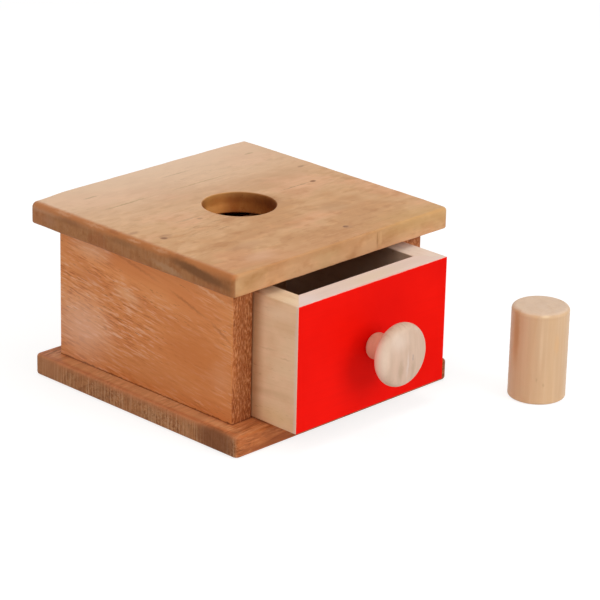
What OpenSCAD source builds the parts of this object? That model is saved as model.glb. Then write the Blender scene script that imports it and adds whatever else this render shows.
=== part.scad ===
// Object permanence box: a wooden case with a round hole in its top board, a sliding drawer with
// a turned knob, and a loose round peg. Millimetres. Z is up and the drawer opens toward -Y.
// The origin lies on the axis of the hole, at the underside of the base board.

/* [Case] */
// Width over the outer faces of the side walls
case_w = 141.5; // [124:0.5:170]
// Depth of the side walls from front end to back end
case_d = 134.5; // [115:0.5:165]
// Height of the walls between the base board and the top board
wall_h = 75; // [62:1:100]
// Thickness of the side walls and the back wall
wall_t = 14; // [12:0.5:17]
// Radius of the outer vertical arrises of the side walls
wall_round = 1.25; // [0.5:0.25:4]
// Radius of the inner front arris of the side walls
wall_ease = 0.75; // [0.5:0.25:2.5]

/* [Boards] */
// Thickness of the base board
base_t = 12; // [10:0.5:16]
// Thickness of the top board
top_t = 12; // [10:0.5:16]
// Overhang of both boards past the side walls
side_overhang = 10; // [6:0.5:16]
// Overhang of the top board past the front ends of the walls
top_front = 9.75; // [6:0.25:16]
// Overhang of the top board past the back wall
top_back = 12.75; // [6:0.25:16]
// Overhang of the base board past the front ends of the walls
base_front = 13.75; // [6:0.25:18]
// Overhang of the base board past the back wall
base_back = 9.5; // [6:0.25:16]
// Radius of the four corners of the boards, seen from above
board_corner = 3; // [2.5:0.25:6]
// Radius of the eased edges of the boards
board_ease = 1.75; // [0.75:0.25:2.5]

/* [Hole] */
// Diameter of the round hole in the top board
hole_d = 40; // [34:0.5:56]
// Radius of the eased rims of the hole
hole_ease = 1; // [0.5:0.25:2]

/* [Drawer] */
// Thickness of the drawer's front, sides and back
drawer_wall_t = 13; // [11:0.5:15]
// Clearance between the drawer and each side wall
drawer_side_gap = 0.6; // [0.3:0.1:1.2]
// Clearance between the drawer and the base board
drawer_under_gap = 0.5; // [0.3:0.1:1]
// Clearance between the drawer and the top board
drawer_top_gap = 4.5; // [2:0.5:8]
// Clearance between the closed drawer and the back wall
drawer_back_gap = 1; // [0.5:0.25:3]
// Distance the drawer stands out of the case
drawer_open = 32; // [0:1:80]
// Radius of the drawer's eased long edges
drawer_ease = 0.75; // [0.5:0.25:1.5]
// Radius of the drawer's outer vertical corners
drawer_corner = 0.75; // [0.5:0.25:2.5]
// Thickness of the drawer's bottom panel
bottom_t = 4; // [3:0.25:6]
// Height of the bottom panel above the drawer's lower edges
bottom_up = 5; // [3:0.5:8]
// Depth of the groove that holds the bottom panel
groove_depth = 5; // [3:0.5:6]
// Clearance of the bottom panel in its groove
groove_gap = 0.2; // [0.1:0.05:0.4]

/* [Knob] */
// Diameter of the knob's head
knob_d = 34.5; // [32:0.5:40]
// Projection of the knob from the drawer front
knob_out = 25; // [22:0.5:30]
// Diameter of the knob's stem
knob_stem_d = 14.5; // [12:0.5:17]
// Radius of the rounded foot of the stem
knob_foot = 3; // [1:0.25:3.5]
// Radius of the knob's rolled rim
knob_rim = 4.75; // [3:0.25:6]
// Radius of the hollow between stem and head
knob_cove = 3.5; // [2:0.25:5]
// Height of the dome over the whole face of the knob
knob_dome = 2; // [0.75:0.25:3]

/* [Peg] */
// Diameter of the peg
peg_d = 31.5; // [28:0.5:33]
// Height of the peg
peg_h = 52; // [40:0.5:58]
// Radius of the peg's lower rim
peg_foot = 1.25; // [0.5:0.25:3]
// Radius of the peg's upper rim
peg_ease = 2.5; // [0.5:0.25:4]
// Place of the peg along X
peg_x = 100.5; // [98:0.5:140]
// Place of the peg along Y
peg_y = -130; // [-160:0.5:-126]

/* [Dowels] */
// Diameter of the dowels
dowel_d = 6; // [4:0.5:8]
// Length of the dowel let into the top board or a side wall
dowel_short = 7; // [5:0.5:8]
// Length of the dowel let into the top of a wall or an end of the back wall
dowel_long = 15; // [10:0.5:20]
// Distance of the screws and dowels from the ends of the side walls
side_inset = 27; // [20:1:40]
// Distance of the back wall's screws and dowels from the middle of the box
back_spread = 28; // [16:1:44]
// Distance of the back wall's end dowels from its lower and upper edges
back_dowel_inset = 19; // [12:1:28]
// Bevel on the ends of a dowel
dowel_bevel = 0.8; // [0.4:0.1:1.2]
// Clearance round a dowel in its hole
dowel_gap = 0.05; // [0.03:0.01:0.1]
// Room left at each end of a dowel
dowel_room = 0.5; // [0.3:0.1:1]

/* [Screws] */
// Diameter of the screws' shanks
screw_d = 4; // [3:0.25:5]
// Diameter of the screws' heads
screw_head_d = 8; // [7:0.25:9]
// Length of the base screws
base_screw_l = 32; // [26:1:40]
// Length of the knob screw below its head
knob_screw_l = 26; // [20:0.5:27]
// Height of the knob screw's head
knob_screw_head_h = 2.4; // [2:0.1:3]
// Bevel round the knob screw's head
knob_screw_bevel = 1.2; // [0.4:0.1:1.6]
// Depth of the base screws' heads under the surface
screw_sink = 0.3; // [0.1:0.1:0.8]
// Height of the straight edge of a countersunk head
screw_land = 0.4; // [0.2:0.1:0.8]
// Length of the screws' points
screw_point = 4; // [2:0.5:6]
// Depth of the cross recess in a screw head
recess_h = 1.4; // [0.8:0.1:1.6]
// Length of the cross recess
recess_l = 4.4; // [3.5:0.1:5]
// Width of the cross recess
recess_w = 0.9; // [0.7:0.1:1.1]
// Clearance round a screw in its hole
screw_gap = 0.05; // [0.03:0.01:0.1]

/* [Drawer joints] */
// Thickness of the splines across the mitres
spline_t = 3; // [2:0.25:3.5]
// Width of the splines across the mitres
spline_w = 8; // [6:0.25:9]
// Height of the splines
spline_h = 36; // [24:1:40]
// Height of the splines' lower ends above the drawer's lower edges
spline_up = 19; // [15:0.5:20]
// Clearance round a spline in its slot
spline_gap = 0.05; // [0.03:0.01:0.1]
// Diameter of the brads that hold the drawer's back
brad_d = 1.6; // [1.2:0.1:2]
// Diameter of a brad's head
brad_head_d = 2.6; // [2.2:0.1:3]
// Height of a brad's head
brad_head_h = 0.8; // [0.5:0.1:1.2]
// Length of the brads
brad_l = 30; // [24:1:38]
// Height of the lower brads above the drawer's lower edges
brad_low = 21; // [14:0.5:26]
// Distance of the upper brads below the drawer's upper edges
brad_high = 14; // [8:0.5:22]
// Clearance round a brad in its hole
brad_gap = 0.03; // [0.02:0.01:0.05]

/* [Hidden] */
$fn = 96;
cut = 1;
wood_tan = [0.82, 0.66, 0.49];
wood_brown = [0.70, 0.43, 0.25];
wood_pale = [0.85, 0.74, 0.60];
wood_peg = [0.80, 0.66, 0.50];
paint_red = [0.87, 0.06, 0.04];
steel = [0.62, 0.60, 0.56];

top_w = case_w + 2 * side_overhang;
top_d = case_d + top_front + top_back;
top_z = base_t + wall_h;
case_front_y = top_front - top_d / 2;
case_back_y = case_front_y + case_d;
case_mid_y = (case_front_y + case_back_y) / 2;
base_d = case_d + base_front + base_back;
base_mid_y = case_mid_y + (base_back - base_front) / 2;
wall_mid_x = case_w / 2 - wall_t / 2;
back_mid_y = case_back_y - wall_t / 2;
inner_w = case_w - 2 * wall_t;
hole_r = hole_d / 2;

drawer_w = inner_w - 2 * drawer_side_gap;
drawer_d = case_d - wall_t - drawer_back_gap;
drawer_h = wall_h - drawer_under_gap - drawer_top_gap;
drawer_front_y = case_front_y - drawer_open;
drawer_z = base_t + drawer_under_gap;
tray_w = drawer_w - 2 * drawer_wall_t;
tray_d = drawer_d - 2 * drawer_wall_t;
panel_grip = groove_depth - groove_gap;

knob_r = knob_d / 2;
knob_stem_r = knob_stem_d / 2;
knob_dome_r = (knob_r * knob_r + knob_dome * knob_dome) / (2 * knob_dome);
knob_dome_z = knob_out - knob_dome_r;
knob_rim_x = knob_r - knob_rim;
knob_rim_z = knob_dome_z + sqrt(pow(knob_dome_r - knob_rim, 2) - pow(knob_rim_x, 2));
knob_rim_slope = (knob_rim_z - knob_dome_z) / knob_rim_x;
knob_back_z = knob_rim_z - knob_rim;

screw_r = screw_d / 2;
screw_head_r = screw_head_d / 2;
screw_cone_h = screw_head_r - screw_r;
dowel_r = dowel_d / 2;
side_spots = [case_front_y + side_inset, case_back_y - side_inset];
back_spots = [-back_spread, back_spread];
back_dowel_z = [base_t + back_dowel_inset, top_z - back_dowel_inset];
brad_z = [brad_low, drawer_h - brad_high];
brad_r = brad_d / 2;
brad_head_r = brad_head_d / 2;

// Waste outside a rounded corner that lies at the origin and opens toward +X and +Y.
module corner_waste(r) {
    difference() {
        translate([-cut, -cut]) square(r + cut);
        translate([r, r]) circle(r);
    }
}

// Rectangle about the origin. The radii run lower left, lower right, upper right, upper left.
module rounded_rect(w, d, radii) {
    difference() {
        square([w, d], center = true);
        for (k = [0:3]) {
            if (radii[k] > 0) {
                translate([(k == 1 || k == 2 ? w : -w) / 2, (k > 1 ? d : -d) / 2])
                    rotate(90 * k) corner_waste(radii[k]);
            }
        }
    }
}

// Half section of a turned piece that stands on z = 0, with its lower and upper rims rounded.
module turned_half(r, h, lower, upper) {
    difference() {
        square([r, h]);
        if (lower > 0) translate([r, 0]) rotate(90) corner_waste(lower);
        if (upper > 0) translate([r, h]) rotate(180) corner_waste(upper);
    }
}

// Board lying on z = 0, eased along every edge and round its four corners.
module eased_board(w, d, t) {
    ease = [board_ease, board_ease, board_ease, board_ease];
    run_w = w - 2 * board_corner;
    run_d = d - 2 * board_corner;
    translate([0, 0, t / 2]) {
        rotate([90, 0, 90]) linear_extrude(run_w, center = true) rounded_rect(d, t, ease);
        rotate([90, 0, 0]) linear_extrude(run_d, center = true) rounded_rect(w, t, ease);
    }
    for (k = [0:3]) {
        translate([(k == 1 || k == 2 ? -run_w : run_w) / 2, (k > 1 ? -run_d : run_d) / 2])
            rotate(90 * k) rotate_extrude(angle = 90)
                turned_half(board_corner, t, board_ease, board_ease);
    }
}

// Calls its children at each place where a wall is held to a board.
module at_wall_spots() {
    for (side = [-1, 1], y = side_spots) translate([side * wall_mid_x, y, 0]) children();
    for (x = back_spots) translate([x, back_mid_y, 0]) children();
}

// Outline of a countersunk screw, turned about its axis, widened by a clearance.
module screw_outline(length, gap) {
    polygon([
        [0, 0],
        [screw_head_r + gap, 0],
        [screw_head_r + gap, screw_land],
        [screw_r + gap, screw_land + screw_cone_h],
        [screw_r + gap, length - screw_point],
        [0, length]
    ]);
}

// Cross recess that opens downward at z = 0.
module cross_recess() {
    for (turn = [0, 90]) {
        rotate(turn) translate([-recess_l / 2, -recess_w / 2, -cut])
            cube([recess_l, recess_w, recess_h + cut]);
    }
}

// Room for one base screw, from the underside of the base up into a wall.
module base_screw_room() {
    translate([0, 0, screw_sink]) {
        rotate_extrude() screw_outline(base_screw_l, screw_gap);
        cylinder(r = screw_r + screw_gap, h = base_screw_l);
        translate([0, 0, -screw_sink - cut]) cylinder(r = screw_head_r + screw_gap, h = screw_sink + cut);
    }
}

// Dowel along +Z across a joint at z = 0, its short end downward.
module dowel() {
    translate([0, 0, -dowel_short]) rotate_extrude() polygon([
        [0, 0],
        [dowel_r - dowel_bevel, 0],
        [dowel_r, dowel_bevel],
        [dowel_r, dowel_short + dowel_long - dowel_bevel],
        [dowel_r - dowel_bevel, dowel_short + dowel_long],
        [0, dowel_short + dowel_long]
    ]);
}

// Hole for a dowel on both sides of its joint.
module dowel_room_cut() {
    translate([0, 0, -dowel_short - dowel_room])
        cylinder(r = dowel_r + dowel_gap, h = dowel_short + dowel_long + 2 * dowel_room);
}

// Turns its children from the walls' tops so that the short end of a dowel points up into the top board.
module at_top_dowels() {
    at_wall_spots() translate([0, 0, top_z]) rotate([180, 0, 0]) children();
}

// Places its children on the joints of the back wall, short end outward into the side walls.
module at_back_dowels() {
    for (side = [0, 1], z = back_dowel_z) {
        mirror([side, 0, 0]) translate([-inner_w / 2, back_mid_y, z]) rotate([0, 90, 0]) children();
    }
}

// Left side wall before it is drilled.
module wall_blank() {
    translate([-wall_mid_x, case_mid_y, base_t]) linear_extrude(wall_h)
        rounded_rect(wall_t, case_d, [wall_round, wall_ease, 0, wall_round]);
}

// Side wall on the left with its holes for screws and dowels.
module drilled_wall() {
    difference() {
        wall_blank();
        at_wall_spots() base_screw_room();
        at_top_dowels() dowel_room_cut();
        at_back_dowels() dowel_room_cut();
    }
}

// Moves its children from the drawer's own frame to where the drawer stands.
module in_drawer() {
    translate([0, drawer_front_y, drawer_z]) children();
}

// Section of a drawer wall, eased along its four long edges.
module drawer_section() {
    rounded_rect(drawer_wall_t, drawer_h, [drawer_ease, drawer_ease, drawer_ease, drawer_ease]);
}

// Outline of the whole drawer seen from above, its front at y = 0.
module drawer_outline() {
    translate([0, drawer_d / 2]) rounded_rect(drawer_w, drawer_d,
        [drawer_corner, drawer_corner, drawer_corner, drawer_corner]);
}

// Groove that runs round inside the drawer for the bottom panel.
module panel_slot() {
    translate([0, drawer_d / 2, bottom_up + (bottom_t + groove_gap) / 2])
        cube([tray_w + 2 * groove_depth, tray_d + 2 * groove_depth, bottom_t + groove_gap], center = true);
}

// Splines across the two front mitres, widened by a clearance.
module splines(gap) {
    for (side = [-1, 1]) {
        translate([side * (drawer_w - drawer_wall_t) / 2, drawer_wall_t / 2, spline_up - gap])
            rotate(side * 45) translate([-spline_w / 2 - gap, -spline_t / 2 - gap, 0])
                cube([spline_w + 2 * gap, spline_t + 2 * gap, spline_h + 2 * gap]);
    }
}

// Places its children where a brad enters a drawer side from outside, pointing inward.
module at_brads() {
    for (side = [0, 1], z = brad_z) {
        mirror([side, 0, 0]) translate([-drawer_w / 2, drawer_d - drawer_wall_t / 2, z])
            rotate([0, 90, 0]) children();
    }
}

// Brad along +Z with its head flush at z = 0, widened by a clearance.
module brad(gap) {
    cylinder(r = brad_head_r + gap, h = brad_head_h + gap);
    cylinder(r = brad_r + gap, h = brad_l + gap);
}

// Left drawer side: mitred at the front, square at the back.
module drawer_side() {
    x = drawer_w / 2;
    difference() {
        intersection() {
            translate([-x + drawer_wall_t / 2, drawer_d / 2, drawer_h / 2]) rotate([90, 0, 0])
                linear_extrude(drawer_d + 2 * cut, center = true) drawer_section();
            translate([0, 0, -cut]) linear_extrude(drawer_h + 2 * cut) intersection() {
                drawer_outline();
                polygon([
                    [-x - cut, -cut],
                    [-x + drawer_wall_t + cut, drawer_wall_t + cut],
                    [-x + drawer_wall_t + cut, drawer_d + cut],
                    [-x - cut, drawer_d + cut]
                ]);
            }
        }
        panel_slot();
        splines(spline_gap);
        at_brads() brad(brad_gap);
    }
}

// Axis of the knob: +Z of the children points out of the drawer front, z = 0 on its face.
module on_knob_axis() {
    in_drawer() translate([0, 0, drawer_h / 2]) rotate([90, 0, 0]) children();
}

// Half section of the knob: round-footed stem, hollow, and a head whose rim runs smoothly into its dome.
module knob_half() {
    turned_half(knob_stem_r, knob_back_z + cut, knob_foot, 0);
    translate([knob_rim_x, knob_rim_z]) circle(knob_rim);
    intersection() {
        translate([0, knob_dome_z]) circle(knob_dome_r, $fn = 360);
        polygon([
            [0, knob_back_z],
            [knob_rim_x, knob_back_z],
            [knob_rim_x, knob_rim_z],
            [knob_r + cut, knob_rim_z + (knob_rim + cut) * knob_rim_slope],
            [0, knob_rim_z + (knob_rim + cut) * knob_rim_slope]
        ]);
    }
    difference() {
        translate([0, knob_back_z - knob_cove]) square([knob_stem_r + knob_cove, knob_cove + cut]);
        translate([knob_stem_r + knob_cove, knob_back_z - knob_cove]) circle(knob_cove);
    }
}

// Room for the knob screw through the drawer front and into the knob.
module knob_screw_room() {
    translate([0, 0, -drawer_wall_t - cut])
        cylinder(r = screw_r + screw_gap, h = knob_screw_l + cut + screw_gap);
}

module base_board() {
    color(wood_brown) difference() {
        translate([0, base_mid_y, 0]) eased_board(top_w, base_d, base_t);
        at_wall_spots() base_screw_room();
    }
}

module left_wall() {
    color(wood_brown) drilled_wall();
}

module right_wall() {
    color(wood_brown) mirror([1, 0, 0]) drilled_wall();
}

module back_wall() {
    color(wood_brown) difference() {
        translate([-inner_w / 2, case_back_y - wall_t, base_t]) cube([inner_w, wall_t, wall_h]);
        at_wall_spots() base_screw_room();
        at_top_dowels() dowel_room_cut();
        at_back_dowels() dowel_room_cut();
    }
}

module top_board() {
    color(wood_tan) difference() {
        translate([0, 0, top_z]) eased_board(top_w, top_d, top_t);
        translate([0, 0, top_z]) rotate_extrude() difference() {
            translate([0, -cut]) square([hole_r + hole_ease, top_t + 2 * cut]);
            translate([hole_r + hole_ease, hole_ease]) circle(hole_ease);
            translate([hole_r + hole_ease, top_t - hole_ease]) circle(hole_ease);
            translate([hole_r, hole_ease]) square([hole_ease + cut, top_t - 2 * hole_ease]);
        }
        at_top_dowels() dowel_room_cut();
    }
}

module base_screws() {
    color(steel) at_wall_spots() translate([0, 0, screw_sink]) difference() {
        rotate_extrude() screw_outline(base_screw_l, 0);
        cross_recess();
    }
}

module top_dowels() {
    color(wood_pale) at_top_dowels() dowel();
}

module back_dowels() {
    color(wood_pale) at_back_dowels() dowel();
}

module drawer_front() {
    x = drawer_w / 2;
    color(paint_red) difference() {
        in_drawer() difference() {
            intersection() {
                translate([0, drawer_wall_t / 2, drawer_h / 2]) rotate([90, 0, 90])
                    linear_extrude(drawer_w + 2 * cut, center = true) drawer_section();
                translate([0, 0, -cut]) linear_extrude(drawer_h + 2 * cut) intersection() {
                    drawer_outline();
                    polygon([
                        [-x - cut, -cut],
                        [x + cut, -cut],
                        [x - drawer_wall_t - cut, drawer_wall_t + cut],
                        [-x + drawer_wall_t + cut, drawer_wall_t + cut]
                    ]);
                }
            }
            panel_slot();
            splines(spline_gap);
        }
        on_knob_axis() knob_screw_room();
    }
}

module drawer_left_side() {
    color(wood_pale) in_drawer() drawer_side();
}

module drawer_right_side() {
    color(wood_pale) in_drawer() mirror([1, 0, 0]) drawer_side();
}

module drawer_back() {
    color(wood_pale) in_drawer() difference() {
        translate([0, drawer_d - drawer_wall_t / 2, drawer_h / 2]) rotate([90, 0, 90])
            linear_extrude(tray_w, center = true) drawer_section();
        panel_slot();
        at_brads() brad(brad_gap);
    }
}

module drawer_bottom() {
    color(wood_pale) in_drawer()
        translate([-tray_w / 2 - panel_grip, drawer_wall_t - panel_grip, bottom_up])
            cube([tray_w + 2 * panel_grip, tray_d + 2 * panel_grip, bottom_t]);
}

module mitre_splines() {
    color(wood_pale) in_drawer() splines(0);
}

module back_brads() {
    color(steel) in_drawer() at_brads() brad(0);
}

module knob() {
    color(wood_pale) on_knob_axis() difference() {
        rotate_extrude() knob_half();
        knob_screw_room();
    }
}

module knob_screw() {
    color(steel) on_knob_axis() translate([0, 0, -drawer_wall_t]) difference() {
        rotate_extrude() polygon([
            [0, -knob_screw_head_h],
            [screw_head_r - knob_screw_bevel, -knob_screw_head_h],
            [screw_head_r, knob_screw_bevel - knob_screw_head_h],
            [screw_head_r, 0],
            [screw_r, 0],
            [screw_r, knob_screw_l - screw_point],
            [0, knob_screw_l]
        ]);
        translate([0, 0, -knob_screw_head_h]) cross_recess();
    }
}

module peg() {
    color(wood_peg) translate([peg_x, peg_y, 0]) rotate_extrude()
        turned_half(peg_d / 2, peg_h, peg_foot, peg_ease);
}

base_board();
left_wall();
right_wall();
back_wall();
top_board();
base_screws();
top_dowels();
back_dowels();
drawer_front();
drawer_left_side();
drawer_right_side();
drawer_back();
drawer_bottom();
mitre_splines();
back_brads();
knob();
knob_screw();
peg();
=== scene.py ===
"""Object permanence box: oiled hardwood case, pale drawer with a red front, turned knob and loose peg.

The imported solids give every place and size. This script dresses them: solid-textured wood whose rings,
fibres, flecks and pores run through each board and show as end grain where the board is cut, a top board
with hand-eased arrises, a turned knob and peg, red paint on the drawer front, plated screws, a pale
stage, soft light and the camera.
"""

import logging
import math
from dataclasses import dataclass, replace
from enum import Enum

import bpy
import numpy as np
from mathutils import Matrix, Vector


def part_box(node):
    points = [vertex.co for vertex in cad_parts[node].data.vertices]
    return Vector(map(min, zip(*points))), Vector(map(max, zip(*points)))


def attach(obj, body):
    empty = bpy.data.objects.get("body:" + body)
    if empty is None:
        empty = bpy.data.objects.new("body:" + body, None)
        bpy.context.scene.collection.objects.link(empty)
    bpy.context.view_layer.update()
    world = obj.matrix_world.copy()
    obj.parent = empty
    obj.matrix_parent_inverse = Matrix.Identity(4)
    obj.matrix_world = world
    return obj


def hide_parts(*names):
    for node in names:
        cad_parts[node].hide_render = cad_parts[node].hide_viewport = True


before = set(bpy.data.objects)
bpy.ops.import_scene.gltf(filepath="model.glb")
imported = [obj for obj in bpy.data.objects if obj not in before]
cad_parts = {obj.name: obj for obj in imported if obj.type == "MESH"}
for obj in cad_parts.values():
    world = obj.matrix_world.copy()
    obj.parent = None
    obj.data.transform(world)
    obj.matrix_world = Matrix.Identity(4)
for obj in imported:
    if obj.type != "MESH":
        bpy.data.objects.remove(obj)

LOG = logging.getLogger("permanence_box")
Triple = tuple[float, float, float]
Pair = tuple[float, float]
Quad = tuple[float, float, float, float]
Box = tuple[Triple, Triple]
Socket = bpy.types.NodeSocket
Value = float | Socket
MM = 0.001
ONES: Triple = (1.0, 1.0, 1.0)
# Reach of a mark, in millimetres, that has no end within any piece
WIDE = 9000.0


class GrainAxis(Enum):
    """Axis along which the fibres of a board run, then the two axes across it."""

    X = (0, 1, 2)
    Y = (1, 0, 2)
    Z = (2, 0, 1)


class Lay(Enum):
    """How one colour is laid over another: covering it or tinting it."""

    COVER = "MIX"
    TINT = "MULTIPLY"


class Layer(Enum):
    """Offsets of the noises in a wood, which keep them from repeating each other."""

    PLAIN = (0.0, 0.0, 0.0)
    STROKE = (3.1, 5.7, 1.3)
    PATCH = (7.7, 2.1, 4.9)
    VESSEL = (1.9, 8.3, 6.1)
    ROW = (4.4, 0.7, 9.2)
    RAY = (2.2, 0.4, 3.3)


def scaled(colour: Triple, factors: Triple | float) -> Triple:
    """Multiplies a colour or a place by one factor, or by one for each of its three numbers."""
    return tuple(float(value) for value in np.array(colour) * np.array(factors))


def lengthwise(size: Pair) -> Triple:
    """Waves per metre along the grain and twice across it, from two lengths in millimetres."""
    along, across = (1 / (length * MM) for length in size)
    return along, across, across


class NodeGraph:
    """Builds the node tree of a material or a world with short calls."""

    def __init__(self, owner: bpy.types.Material | bpy.types.World) -> None:
        """Starts an empty tree.

        Args:
            owner: New material or world.
        """
        owner.use_nodes = True
        self.owner = owner
        self.tree = owner.node_tree
        self.tree.nodes.clear()
        kind = "World" if isinstance(owner, bpy.types.World) else "Material"
        self.output = self.node("Output" + kind)

    @classmethod
    def material(cls, name: str) -> "NodeGraph":
        """Starts the tree of a new material."""
        return cls(bpy.data.materials.new(name))

    def node(self, kind: str, settings: dict | None = None, **inputs: object) -> bpy.types.Node:
        """Adds a node, then sets or links its inputs.

        Args:
            kind: Node type without the leading "ShaderNode".
            settings: Attributes of the node itself.
            inputs: Input names with spaces written as underscores, each a socket or a constant.

        Returns:
            The new node.
        """
        node = self.tree.nodes.new("ShaderNode" + kind)
        for key, value in (settings or {}).items():
            setattr(node, key, value)
        for key, value in inputs.items():
            self.feed(node.inputs[key.replace("_", " ")], value)
        return node

    def feed(self, socket: Socket, value: object) -> None:
        """Links a socket to another one, or writes a constant to it.

        Args:
            socket: Input socket to fill.
            value: Output socket, number, colour or vector.
        """
        if isinstance(value, Socket):
            self.tree.links.new(value, socket)
        elif isinstance(value, tuple) and len(value) == 3 and socket.type == "RGBA":
            socket.default_value = (*value, 1.0)
        else:
            socket.default_value = value

    def filled(self, kind: str, settings: dict | None, *values: object) -> bpy.types.Node:
        """Adds a node and fills its inputs in their own order.

        Args:
            kind: Node type without the leading "ShaderNode".
            settings: Attributes of the node itself.
            values: Sockets or constants.

        Returns:
            The new node.
        """
        node = self.node(kind, settings)
        for socket, value in zip(node.inputs, values):
            self.feed(socket, value)
        return node

    def math(self, operation: str, *values: Value, clamp: bool = False) -> Socket:
        """Combines one to three numbers; a clamped result is held between 0 and 1."""
        return self.filled("Math", {"operation": operation, "use_clamp": clamp}, *values).outputs[0]

    def times(self, first: Value, second: Value) -> Socket:
        """Product of two numbers."""
        return self.math("MULTIPLY", first, second)

    def plus(self, value: Value, factor: Value, base: Value) -> Socket:
        """A number times a factor, added to a base."""
        return self.math("MULTIPLY_ADD", value, factor, base)

    def step(self, value: Value, low: float, high: float) -> Socket:
        """Smooth rise from 0 at the low value to 1 at the high one, which may be the smaller number."""
        node = self.node("MapRange", {"interpolation_type": "SMOOTHSTEP", "clamp": True}, Value=value,
                         From_Min=low, From_Max=high)
        return node.outputs[0]

    def spread(self, place: Socket, scale: Triple, shift: Triple | Socket = Layer.PLAIN.value) -> Socket:
        """Multiplies a place by a factor for each axis, then adds a shift."""
        return self.filled("VectorMath", {"operation": "MULTIPLY_ADD"}, place, scale, shift).outputs[0]

    def length(self, vector: Socket) -> Socket:
        """Length of a vector."""
        return self.node("VectorMath", {"operation": "LENGTH"}, Vector=vector).outputs["Value"]

    def split(self, vector: Socket) -> list[Socket]:
        """Splits a vector into its three numbers."""
        return list(self.node("SeparateXYZ", Vector=vector).outputs)

    def noise(self, place: Socket, waves: Triple | float, detail: float, roughness: float = 0.5,
              shift: Triple = Layer.PLAIN.value) -> Socket:
        """Smooth three-dimensional noise.

        Args:
            place: Place in metres.
            waves: Waves per metre, for all axes or for each.
            detail: Number of finer layers.
            roughness: Weight of the finer layers.
            shift: Offset in waves.

        Returns:
            Output socket from about 0 to 1.
        """
        scale = waves if isinstance(waves, tuple) else scaled(ONES, waves)
        node = self.node("TexNoise", {"noise_dimensions": "3D"}, Vector=self.spread(place, scale, shift),
                         Scale=1.0, Detail=detail, Roughness=roughness)
        return node.outputs[0]

    def blend(self, share: Value, first: object, second: object, how: Lay = Lay.COVER) -> Socket:
        """Mixes two colours.

        Args:
            share: Share of the second colour.
            first: Colour or socket that the mix starts from.
            second: Colour or socket that is laid over it.
            how: Whether it covers or tints.

        Returns:
            Colour output socket.
        """
        node = self.node("Mix", {"data_type": "RGBA", "blend_type": how.value, "clamp_factor": True})
        for index, value in ((0, share), (6, first), (7, second)):
            self.feed(node.inputs[index], value)
        return node.outputs[2]

    def between(self, share: Socket, first: Value, second: Value) -> Socket:
        """Number between two others, by the share of the second."""
        return self.node("Mix", {"data_type": "FLOAT"}, Factor=share, A=first, B=second).outputs[0]

    def direct(self) -> Socket:
        """1 on rays from the camera, a reflection or a refraction, and 0 on the rays of soft light."""
        rays = self.node("LightPath").outputs
        seen = self.math("MAXIMUM", rays["Is Camera Ray"], rays["Is Glossy Ray"])
        return self.math("MAXIMUM", seen, rays["Is Transmission Ray"])

    def surface(self, shader: bpy.types.Node) -> bpy.types.Material | bpy.types.World:
        """Connects the last shader to the output and returns what the tree belongs to."""
        self.tree.links.new(shader.outputs[0], self.output.inputs["Surface"])
        return self.owner

    def coat(self, tone: Socket, roughness: Socket, height: Socket, relief: Pair,
             **more: Value) -> bpy.types.Material:
        """Ends the tree with a coloured surface that has a fine relief.

        Args:
            tone: Colour.
            roughness: Roughness.
            height: Height of the relief.
            relief: Strength of the relief, and its depth in millimetres.
            more: Further inputs of the surface.

        Returns:
            The finished material.
        """
        bump = self.node("Bump", Strength=relief[0], Distance=relief[1] * MM, Height=height)
        return self.surface(self.node("BsdfPrincipled", Base_Color=tone, Roughness=roughness,
                                      Normal=bump.outputs[0], **more))


@dataclass(frozen=True)
class Mark:
    """Soft spot of another colour at one place of a board: a speck, a stain, a pale patch, a thin line, or
    painted shade, light, a highlight or a reflection.

    Centre and reach are in millimetres; inside the core share of the reach the spot has its full strength.
    Very long reaches make a slab or a tube of it. The turn is in degrees about the X axis. A crisp mark has
    a clean outline, the others an uneven one.
    """

    centre: Triple
    reach: Triple
    colour: Triple
    share: float = 1.0
    core: float = 0.4
    how: Lay = Lay.COVER
    turn: float = 0.0
    crisp: bool = False

    def cover(self, graph: NodeGraph, place: Socket) -> Socket:
        """How much of a place the spot covers: 1 less the distance from its centre, in reaches, smoothed.

        Args:
            graph: Graph of the material.
            place: Object's own place in metres.

        Returns:
            Output socket from 0 to the share.
        """
        if self.turn:
            turned_place = graph.node("VectorRotate", {"rotation_type": "X_AXIS"}, Vector=place,
                                      Center=scaled(self.centre, MM), Angle=math.radians(self.turn))
            place = turned_place.outputs[0]
        scale = tuple(1 / (reach * MM) for reach in self.reach)
        shift = tuple(-centre / reach for centre, reach in zip(self.centre, self.reach))
        away = graph.length(graph.spread(place, scale, shift))
        return graph.times(graph.step(away, 1.0, self.core), self.share)

    def lay(self, graph: NodeGraph, place: Socket, tone: Socket) -> Socket:
        """Lays the spot over a colour, at the object's own place in metres."""
        return graph.blend(self.cover(graph, place), tone, self.colour, self.how)


@dataclass(frozen=True)
class Face:
    """Flat face of a node, on which marks lie: its axis, which end of it, and how deep marks go in mm."""

    node: str
    axis: int
    upper: bool
    depth: float

    def mark(self, place: Pair, reach: Pair, colour: Triple, share: float = 1.0, core: float = 0.4,
             depth: float | None = None, **more: object) -> Mark:
        """Makes a mark whose centre lies on the face.

        Args:
            place: The two coordinates along the face, in millimetres.
            reach: Reach along the face, in millimetres.
            colour: Colour of the mark.
            share: Strength of the mark.
            core: Share of the reach with full strength.
            depth: Reach into the board, if it isn't the face's own.
            more: Further fields of the mark.

        Returns:
            The mark.
        """
        centre, sizes = list(place), list(reach)
        centre.insert(self.axis, float(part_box(self.node)[int(self.upper)][self.axis]) / MM)
        sizes.insert(self.axis, depth or self.depth)
        return Mark(tuple(centre), tuple(sizes), colour, share, core, **more)

    def marks(self, core: float, *rows: tuple, **more: object) -> tuple[Mark, ...]:
        """Makes marks of one core from rows of place, reach, colour and share."""
        return tuple(self.mark(*row, core, **more) for row in rows)


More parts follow.
